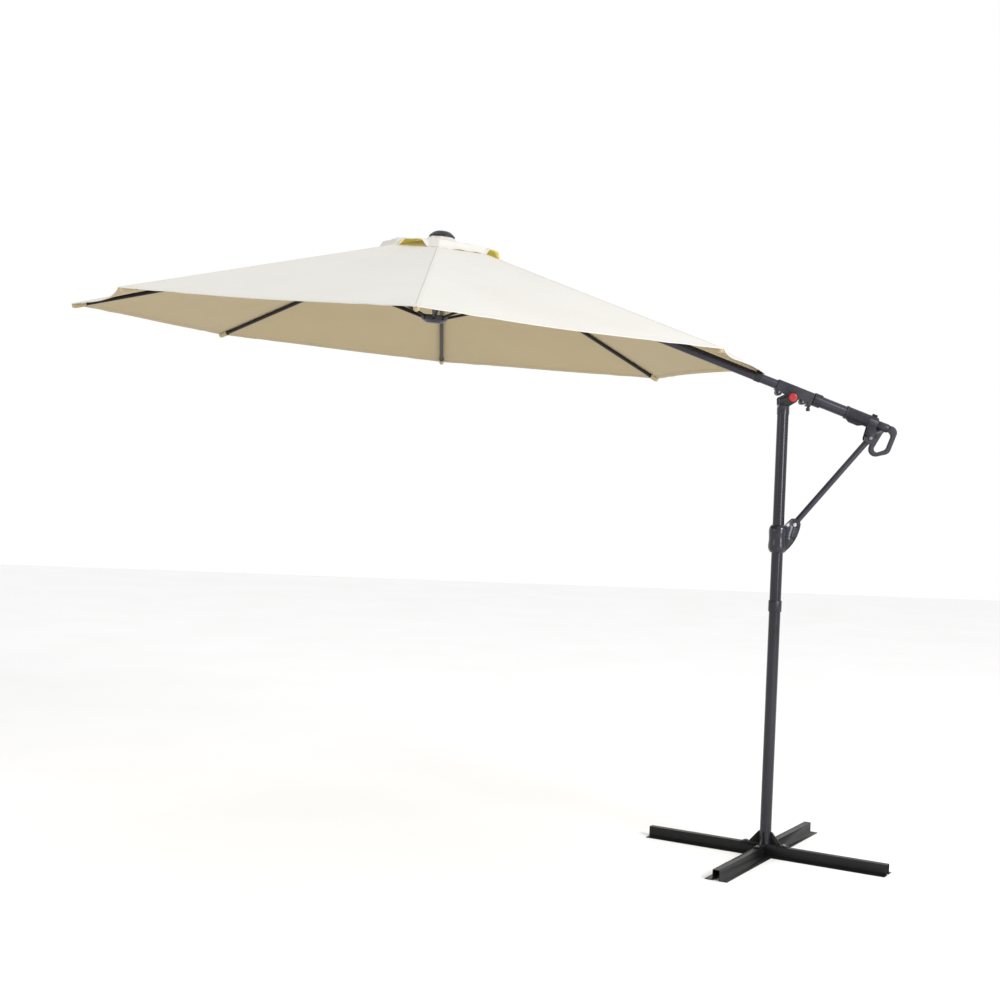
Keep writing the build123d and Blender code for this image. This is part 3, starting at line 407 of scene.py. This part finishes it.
joint_place = {joint["name"]: np.array(joint.get("pos_m") or (0, 0, 0)) for joint in frame["joints"]}
crown_centre = (joint_place["rib_2_fold"] + joint_place["rib_6_fold"]) / 2
across_way = joint_place["rib_2_fold"] - joint_place["rib_6_fold"]
across_way /= np.linalg.norm(across_way)
arm_way = crown_centre - joint_place["rib_4_fold"]
arm_way /= np.linalg.norm(arm_way)
axis_way = np.cross(arm_way, across_way)
apex = crown_centre + axis_way * ridge_above_hinges
rib_run = joint_place["stretcher_4_fold"] - joint_place["rib_4_fold"]
ridge_fall = (rib_run @ axis_way) / (rib_run @ arm_way)


def canopy_point(azimuth, radius, level):
    """A point at an azimuth from the arm, a distance from the canopy's axis, and a level along
    that axis from the apex: apex + radius (cos, sin) + level."""
    azimuth, radius, level = np.broadcast_arrays(azimuth, radius, level)
    flat = np.cos(azimuth)[..., None] * arm_way + np.sin(azimuth)[..., None] * across_way
    return apex + radius[..., None] * flat + level[..., None] * axis_way


def ridge_point(corner, radius):
    """A point on the straight ridge over a rib: it falls evenly with its distance from the axis."""
    return canopy_point(corner * corner_turn, radius, -np.asarray(radius) * ridge_fall)


def rim_radius(corner):
    return cut_radius if corner % corners == 0 else canopy_radius


def strap_pull(corner, down, over):
    """How far the strap draws the cloth down near the cut corner: the square of the way past
    strap_pull_start, times the sixth power of the share towards the arm."""
    toward_arm = {0: 1 - over, corners - 1: over}.get(corner % corners)
    if toward_arm is None:
        return np.zeros_like(over)
    start = strap_pull_start
    return strap_pull_depth * np.clip((down - start) / (1 - start), 0, 1) ** 2 * toward_arm**6


ripple_height, fold_height, fold_place = 0.0018, 0.0024, 0.12


def gore(corner, down, over):
    """A gore between a corner and the next: down runs 0 to 1 from the vent to the rim, over runs
    0 to 1 from ridge to ridge. Straight lines join the ridges and the rim runs in between the
    corners as a sine. The cloth hangs by the product of two sines, its hem droops as the 12th
    power of down, and soft folds run from the corners."""
    arch = np.sin(math.pi * over)
    reach = down * (1 - rim_scoop * arch)
    left = ridge_point(corner, hole_radius + reach * (rim_radius(corner) - hole_radius))
    right = ridge_point(corner + 1, hole_radius + reach * (rim_radius(corner + 1) - hole_radius))
    points = left * (1 - over[..., None]) + right * over[..., None]
    hang = cloth_hang * arch * np.sin(0.8 * math.pi * down) + hem_droop * arch * down**12
    hang += strap_pull(corner, down, over)
    phase = 2.3 * corner
    ripple = np.sin(9 * down + 4 * over + phase) * np.sin(5 * over - 3 * down + 1.7 * phase)
    from_side = np.minimum(over, 1 - over)
    folds = np.exp(-((1 - down) ** 2) * 40) * np.exp(-((from_side - fold_place) ** 2) * 90)
    folds = folds * np.sin(52 * from_side + 16 * down + phase)
    hang += (ripple_height * ripple + fold_height * folds * down**4) * arch
    return points - hang[..., None] * axis_way


def sector(shape, corner, down, across):
    """A shape's part over one rib, as a grid: across runs -1 to 1 from mid-gore to mid-gore."""
    down, across = np.meshgrid(down, across, indexing="ij")
    after = shape(corner, down, np.clip(across / 2, 0, 1))
    before = shape(corner - 1, down, np.clip(1 + across / 2, 0, 1))
    return np.where((across >= 0)[..., None], after, before)


def cloth_uv(points):
    """UV in metres: across from the grid's middle column, and along from its first row."""
    across = np.cumsum(np.linalg.norm(np.diff(points, axis=1, prepend=points[:, :1]), axis=2), axis=1)
    across -= across[:, points.shape[1] // 2][:, None]
    along = np.cumsum(np.linalg.norm(np.diff(points, axis=0, prepend=points[:1]), axis=2), axis=0)
    return np.stack([across, along], axis=-1)


cloth_crease = math.radians(60)


def cloth_piece(name, points, thickness, outside, inside, outward=None):
    """A closed sheet: the grid is its outside, the same grid moved in along its normals by the
    thickness is its inside, and four strips of faces close its edges. Outward says which way the
    outside looks, the canopy's axis if nothing else."""
    rows, columns = points.shape[:2]
    normals = np.cross(np.gradient(points, axis=0), np.gradient(points, axis=1))
    normals /= np.linalg.norm(normals, axis=2, keepdims=True) + 1e-12
    looks = normals @ (axis_way if outward is None else outward)
    turned = looks.mean() < 0
    normals = -normals if turned else normals
    index = np.arange(rows * columns).reshape(rows, columns)
    under = index + rows * columns
    top, bottom = grid_faces(index), grid_faces(under)
    top, bottom = (top, bottom[:, ::-1]) if turned else (top[:, ::-1], bottom)
    loop = np.concatenate([index[0, :-1], index[:-1, -1], index[-1, :0:-1], index[:0:-1, 0]])
    after = np.roll(loop, -1)
    walls = np.stack([loop, after, after + rows * columns, loop + rows * columns], axis=-1)
    walls = walls[:, ::-1] if turned else walls
    faces = np.concatenate([top, bottom, walls])
    both = np.concatenate([points.reshape(-1, 3), (points - normals * thickness).reshape(-1, 3)])
    uv = np.tile(cloth_uv(points).reshape(-1, 2), (2, 1))
    piece = surface(name, both, faces, uv, [outside, inside], cloth_crease)
    sides = np.zeros(len(faces), np.int32)
    sides[len(top) : len(top) + len(bottom)] = 1
    piece.data.polygons.foreach_set("material_index", sides)
    return piece


stitch_pitch, stitch_share, thread_half = 0.0045, 0.68, 0.0006


def stitching(place, rows, along):
    """A mask of sewn stitches: thin lines at distances across, broken into dashes along."""
    parts = [place.node("ShaderNodeSeparateXYZ", output=axis, Vector=place) for axis in (0, 1)]
    way, side = parts[along], parts[1 - along]
    steps = way / stitch_pitch
    dashes = steps.math("FRACT", steps) < stitch_share
    lines = side * 0
    for row in rows:
        off = side - row
        lines = lines + (off.math("ABSOLUTE", off) < thread_half)
    return dashes * lines


def cloth_finish(name, fresh, aged, sewn=(), along=0):
    """Plain-woven polyester: slubby threads both ways, cloudy tone, faint sheen, and rows of
    stitches where it is sewn."""
    material, tree, principled = finish_of(name, fresh, 0.82, Sheen_Weight=0.1, Sheen_Roughness=0.5)
    principled.inputs["Specular IOR Level"].default_value = 0.2
    warp = noise(place_in(tree, (1500, 90, 1), "UV"), 1.0, 2.0)
    weft = noise(place_in(tree, (90, 1500, 1), "UV"), 1.0, 2.0)
    threads = settle(warp + weft, 0.7, 1.3)
    cloud = settle(noise(place_in(tree), 2.6, 4.0, 0.6), 0.3, 0.7)
    share = cloud * 0.6 + threads * 0.4
    height = threads * 0.35 + noise(place_in(tree), 14.0, 3.0, 0.55) * 4.0
    colour = share.mix((*fresh, 1), (*aged, 1))
    if sewn:
        stitches = stitching(place_in(tree, source="UV"), sewn, along)
        colour = (stitches * 0.45).mix(colour, tuple(0.6 * tone for tone in aged) + (1,))
        height = height + stitches * 1.5
    feed(tree, principled.inputs["Base Color"], colour)
    feed(tree, principled.inputs["Roughness"], threads * 0.12 + 0.74)
    bump(tree, principled, height, 0.5, 0.0006)
    return material


# Inside colour (tan): painted shade and painted light through the cloth, which is cream on both sides.
cream, worn_cream = (0.615, 0.6, 0.565), (0.57, 0.553, 0.515)
tan, worn_tan = (0.43, 0.348, 0.205), (0.395, 0.317, 0.185)
cloth_out = cloth_finish("cloth_outside", cream, worn_cream)
cloth_in_painted_shade = cloth_finish("cloth_inside", tan, worn_tan)
hem_width = 0.024
hem_out = cloth_finish("hem_outside", cream, worn_cream, (0.004, 0.020))
hem_in_painted_shade = cloth_finish("hem_inside", tan, worn_tan, (0.004, 0.020))
seam_half = 0.006
seam_out = cloth_finish("seam_outside", cream, worn_cream, (-0.0042, 0.0042), 1)


def rib_body(corner):
    return "arm" if corner == 0 else f"rib_{corner}"


def fold(piece, corner):
    """Rides on the corner's rib."""
    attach(piece, rib_body(corner))
    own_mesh(piece)
    return piece


def seam_strip(corner):
    """The felled seam over a rib: a narrow band that stands proud of the cloth, highest inside
    its edges and dipped along its middle."""
    reach = rim_radius(corner) - hole_radius
    radius = hole_radius + np.linspace(0.004, 0.992, 97) * reach
    spread = np.array([-1.0, -0.9, -0.35, 0.0, 0.35, 0.9, 1.0]) * seam_half
    over = spread[None, :] / (2 * radius[:, None] * math.tan(half_gore))
    down = (radius[:, None] - hole_radius) / reach + 0 * over
    after = gore(corner, down, np.clip(over, 0, 1))
    before = gore(corner - 1, down, np.clip(1 + over, 0, 1))
    rise = np.array([0.0002, 0.001, 0.0013, 0.0011, 0.0013, 0.001, 0.0002])
    return np.where((over >= 0)[..., None], after, before) + rise[None, :, None] * axis_way


pocket_length = 0.062
pocket_depth = 0.0235
pocket_half = 0.0125
pocket_top = 0.0028  # of its edges, below the top of the cloth


def pocket(corner):
    """The pocket that holds a rib's tip under the corner: half rings across the rib. Width and
    depth stay full and round off at the corner, as a root of one less the way's eighth power."""
    way, turn = np.meshgrid(np.linspace(0, 1, 25), np.linspace(-0.5, 0.5, 21) * math.pi, indexing="ij")
    left = np.sqrt(np.clip(1 - way**8, 0, 1)) * 0.75 + 0.25
    ridge = ridge_point(corner, canopy_radius - 0.002 - pocket_length * (1 - way))
    azimuth = corner * corner_turn
    sideways = -math.sin(azimuth) * arm_way + math.cos(azimuth) * across_way
    side = pocket_half * left * np.sin(turn)
    drop = pocket_top + (pocket_depth * left - pocket_top) * np.cos(turn) ** 0.8
    return ridge + side[..., None] * sideways - drop[..., None] * axis_way


sector_length = (canopy_radius - hole_radius) * math.hypot(1, ridge_fall)
down_steps = np.linspace(0, 1, 97)
across_steps = np.linspace(-1, 1, 65)
hem_rows = 1 - np.array([hem_width, hem_width / 2, 0.001, -0.001]) / sector_length
hem_lift, hem_thick, seam_thick, pocket_thick = 0.0009, 0.0034, 0.0008, 0.001
for corner in range(corners):
    points = sector(gore, corner, down_steps, across_steps)
    piece = cloth_piece(f"canopy_gore_{corner}", points, cloth_thick, cloth_out, cloth_in_painted_shade)
    points = sector(gore, corner, hem_rows, across_steps) + hem_lift * axis_way
    hem = cloth_piece(f"hem_{corner}", points, hem_thick, hem_out, hem_in_painted_shade)
    seam = cloth_piece(f"seam_{corner}", seam_strip(corner), seam_thick, seam_out, seam_out)
    sewn_on = [hem, seam]
    if corner:
        points = pocket(corner)
        name = f"rib_pocket_{corner}"
        sewn_on.append(cloth_piece(name, points, pocket_thick, cloth_in_painted_shade, cloth_in_painted_shade, -axis_way))
    for part in [piece, *sewn_on]:
        fold(part, corner)
    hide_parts("canopy")


# ---- Vent cap ----
# A small eight-cornered cap over the vent hole, in the same cloth. Its neck is drawn up under
# the finial, its top is nearly flat, and its edge turns down to the canopy. The edge has lifted
# in some gores, where its inside shows. The inside is painted yellow and made to glow, as
# painted light coming through the cloth.
neck_radius, neck_level = 0.055, -0.003
shoulder_radius, shoulder_level = 0.092, -0.024
vent_radius = 0.265
brow, brow_level = 0.86, -0.041  # where the edge turns down, as a share of the way out
edge_level = -0.0735
raised_level = -0.046
flutter_height, gather_height = 0.0015, 0.0009
edge_sag = 0.001  # of the edge in mid-gore, where the canopy under it hangs
# For each gore: how far its edge has lifted, the middle of the lifted stretch and half its width.
lifted_edges = (
    (0.3, 0.5, 0.4),
    (0.8, 0.4, 0.4),
    (0.2, 0.5, 0.4),
    (0.9, 0.5, 0.4),
    (0.1, 0.5, 0.4),
    (1.0, 0.44, 0.36),
    (0.12, 0.6, 0.4),
    (1.0, 0.42, 0.42),
)
# Yellow inside colour and its glow: painted light, daylight coming through the cloth.
vent_in_painted_glow = cloth_finish("vent_inside", (0.78, 0.68, 0.2), (0.72, 0.62, 0.17))
glow = vent_in_painted_glow.node_tree.nodes["Principled BSDF"].inputs  # daylight that comes through the cap
glow["Emission Color"].default_value = (0.55, 0.45, 0.1, 1)
glow["Emission Strength"].default_value = 0.45


def octagon_radius(over, radius):
    """Radius to the side of an octagon whose corners are at a radius."""
    return radius * math.cos(half_gore) / np.cos((over - 0.5) * corner_turn)


def vent_gore(corner, down, over):
    """From the shoulder to the edge: a gentle fall to the brow, then a quick turn down to the
    canopy, as a sine. Where the edge has lifted, it runs on nearly level instead."""
    share, middle, half_width = lifted_edges[corner % corners]
    window = np.clip(2 * (1 - np.abs(over - middle) / half_width), 0, 1)
    lifted = share * window**2 * (3 - 2 * window)
    outer = np.clip((down - brow) / (1 - brow), 0, 1)
    top = shoulder_level + (brow_level - shoulder_level) * np.clip(down / brow, 0, 1) ** 1.2
    to_cloth = edge_level - brow_level - edge_sag * np.sin(math.pi * over)
    drop = to_cloth * np.sin(outer * math.pi / 2) ** 1.3
    rise = (raised_level - brow_level) * outer
    radius = octagon_radius(over, shoulder_radius + down * (vent_radius - shoulder_radius))
    radius = radius * (1 - 0.02 * down * np.sin(math.pi * over)) + 0.006 * lifted * outer
    flutter = flutter_height * down * np.sin(17 * over + corner) * np.sin(math.pi * over)
    level = top + drop * (1 - lifted) + rise * lifted + flutter
    return canopy_point((corner + over) * corner_turn, radius, level)


def neck_gore(corner, down, over):
    """The neck: a steep cone that flares into the shoulder, gathered in small waves at its top."""
    radius = octagon_radius(over, neck_radius + down**1.3 * (shoulder_radius - neck_radius))
    gather = gather_height * np.sin(10 * math.pi * over) * (1 - down)
    level = neck_level + (shoulder_level - neck_level) * down**0.8
    return canopy_point((corner + over) * corner_turn, radius + gather, level)


vent_steps = np.concatenate([np.linspace(0, brow, 17)[:-1], np.linspace(brow, 1, 14)])
vent_across = np.linspace(-1, 1, 65)
vent_hem_steps = np.array([0.93, 0.96, 0.998, 1.004])
vent_hem_thick = 0.003
for corner in range(corners):
    points = sector(vent_gore, corner, vent_steps, vent_across)
    cap = cloth_piece(f"vent_gore_{corner}", points, cloth_thick, cloth_out, vent_in_painted_glow)
    points = sector(vent_gore, corner, vent_hem_steps, vent_across) + hem_lift * axis_way
    vent_hem = cloth_piece(f"vent_hem_{corner}", points, vent_hem_thick, cloth_out, vent_in_painted_glow)
    for part in (cap, vent_hem):
        fold(part, corner)
    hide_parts("vent_cap")

    points = sector(neck_gore, corner, np.linspace(0, 1, 17), np.linspace(-1, 1, 33))
    neck = cloth_piece(f"vent_neck_{corner}", points, cloth_thick, cloth_out, vent_in_painted_glow)
    if corner == 0:
        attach(neck, "arm")
    else:
        start = canopy_point(corner * corner_turn, neck_radius + 0.004, neck_level)
        end = canopy_point(corner * corner_turn, shoulder_radius, neck_level)
        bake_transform(neck)


# ---- Corner strap ----
# Webbing 25 mm wide, looped round the arm and sewn to the cloth's cut corner, which it
# draws down. Its black is painted shade, so that it reads as the shade of the cloth on the arm.
strap_width, strap_thick = 0.025, 0.0016
strap_round = 0.0193  # radius of the loop's inside, around the arm's tube
strap_peak = 0.0245  # of the loop's inside, above the tube's axis
arm_slope = math.radians(19.5)
arm_above_pivot = 0.029
strap_from_pivot = 0.1625  # along the arm, to the middle of the webbing
outwards = np.array([-math.cos(arm_slope), 0, math.sin(arm_slope)])
upwards = np.array([math.sin(arm_slope), 0, math.cos(arm_slope)])


def strap_ring(radius, peak):
    """A drop-shaped ring in the plane across the arm: an arc under the tube, and on both sides
    straight lines that touch the arc and meet at the peak."""
    touch = math.pi - math.acos(radius / peak)
    arc = np.linspace(-touch, touch, 41)
    ring = np.stack([radius * np.sin(arc), -radius * np.cos(arc)], axis=1)
    share = np.linspace(0, 1, 6)[1:-1, None]
    rising = ring[-1] * (1 - share) + np.array([0.0, peak]) * share
    falling = rising[::-1] * (-1, 1)
    return np.concatenate([ring, rising, [[0.0, peak]], falling])


inside_ring = strap_ring(strap_round, strap_peak)
outside_ring = strap_ring(strap_round + strap_thick, strap_peak + strap_thick)
rings = np.stack([outside_ring, outside_ring, inside_ring, inside_ring])
places = strap_from_pivot + strap_width * np.array([-0.5, 0.5, 0.5, -0.5])
middle = joint_place["arm_tilt"] + arm_above_pivot * upwards + places[:, None] * outwards
strap_points = middle[:, None, :] + rings[..., 1:] * upwards + rings[..., :1] * (0, 1, 0)
strap_index = np.arange(rings.shape[0] * rings.shape[1]).reshape(rings.shape[:2])
strap_index = np.concatenate([strap_index, strap_index[:1]])
strap_index = np.concatenate([strap_index, strap_index[:, :1]], axis=1)
around = np.linalg.norm(np.diff(outside_ring, axis=0, prepend=outside_ring[:1]), axis=1).cumsum()
strap_uv = np.stack(np.broadcast_arrays(places[:, None], around[None, :]), axis=-1)
strap_crease = math.radians(50)
# Black webbing: painted shade where the cloth shades the arm.
painted_shade_webbing = cloth_finish("painted_shade_black_webbing", (0.018, 0.018, 0.02), (0.03, 0.03, 0.032))
strap_faces = grid_faces(strap_index)
strap_loop = surface("strap_loop", strap_points, strap_faces, strap_uv, [painted_shade_webbing], strap_crease)
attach(strap_loop, "arm")
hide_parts("corner_strap")
